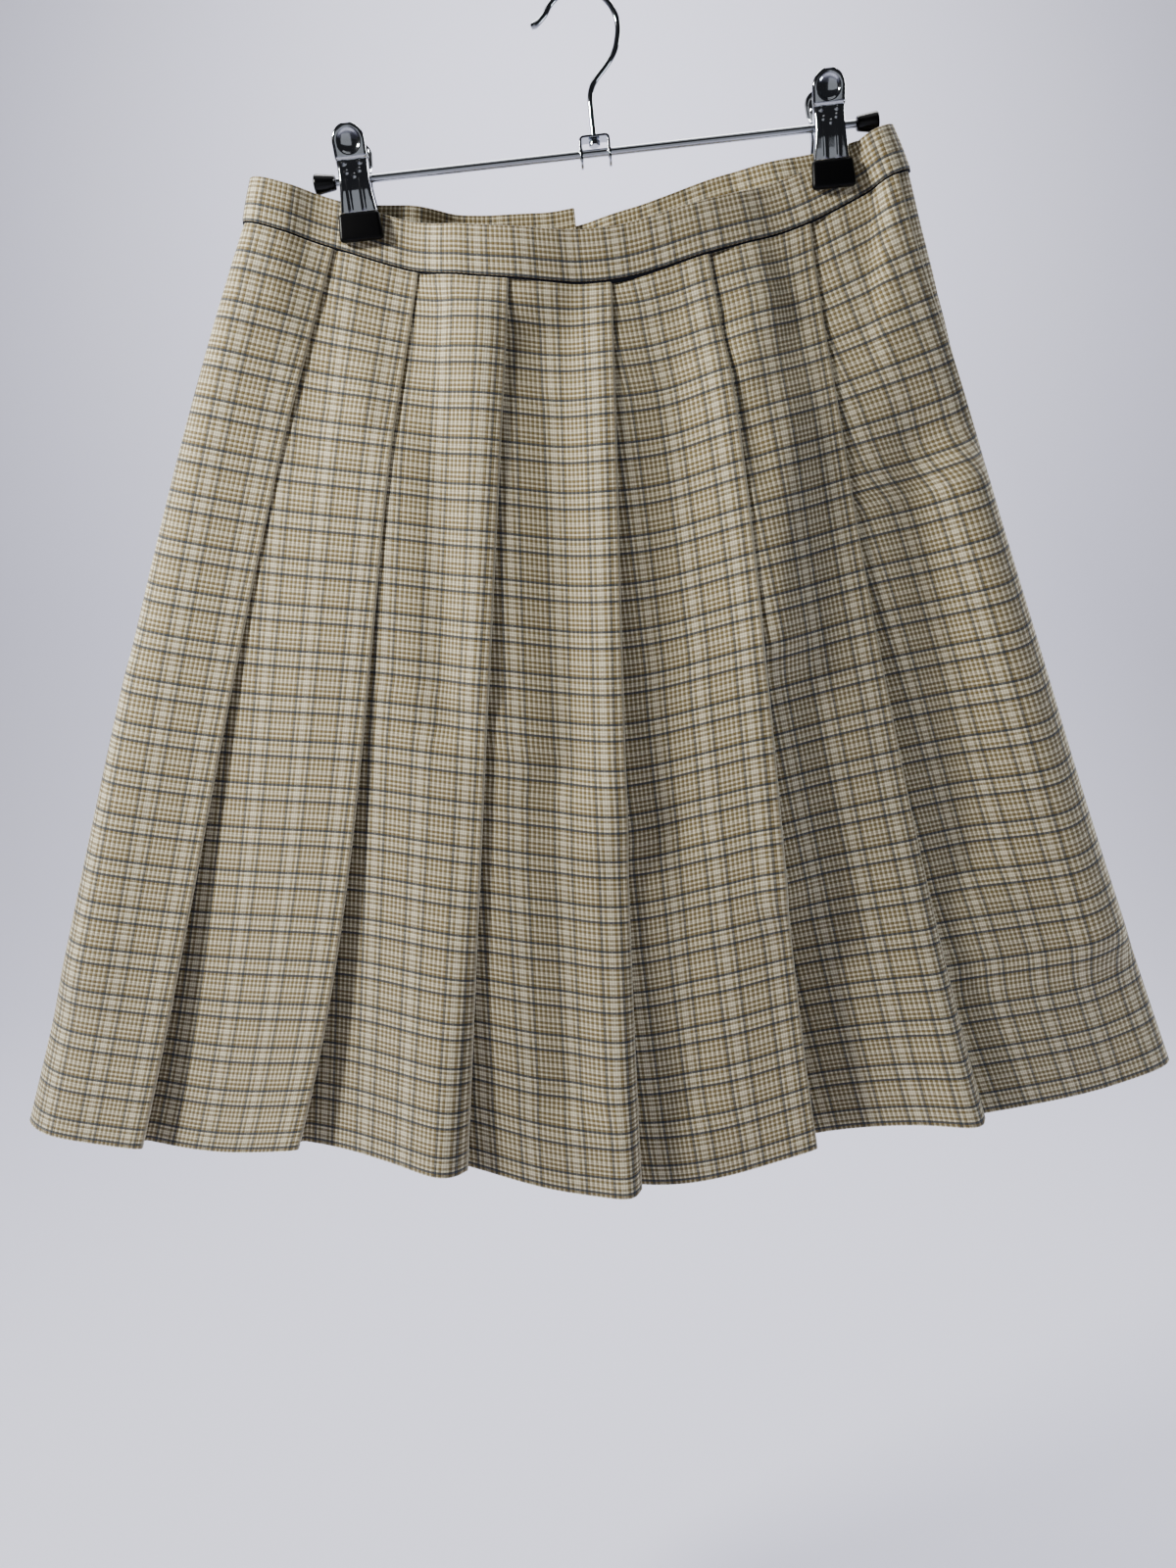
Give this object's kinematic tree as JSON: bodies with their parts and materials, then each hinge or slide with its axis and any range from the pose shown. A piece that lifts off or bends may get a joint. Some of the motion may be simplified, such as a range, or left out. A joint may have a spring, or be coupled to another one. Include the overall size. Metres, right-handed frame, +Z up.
{
  "type": "pleated mini skirt on a clip hanger",
  "caption": "Short plaid skirt of one-way knife pleats on a plain waistband, held by its waistband in the two clips of a chromed bar hanger.",
  "frame": {"origin": "inner top of the hanger hook's crook, where it rests on a nail or rail", "axes": "+Z up, +X towards the viewer's right, the front of the skirt facing -Y"},
  "size_m": [0.6672, 0.0897, 0.6431],
  "materials": {
    "cloth": "soft woven plaid, matt",
    "chromed steel": "polished",
    "black rubber": "satin",
    "black plastic": "satin"
  },
  "bodies": {
    "root": {"front_panel": "cloth", "back_panel_right": "cloth", "back_panel_left": "cloth", "waistband": "cloth", "hanger_bar": "chromed steel", "cap_left": "black plastic", "cap_right": "black plastic", "hook_bracket": "chromed steel", "hanger_hook": "chromed steel", "clip_left_jaw_front": "chromed steel", "clip_left_jaw_back": "chromed steel", "clip_left_pad_front": "black rubber", "clip_left_pad_back": "black rubber", "clip_left_spring": "chromed steel", "clip_right_jaw_front": "chromed steel", "clip_right_jaw_back": "chromed steel", "clip_right_pad_front": "black rubber", "clip_right_pad_back": "black rubber", "clip_right_spring": "chromed steel"}
  },
  "joints": []
}
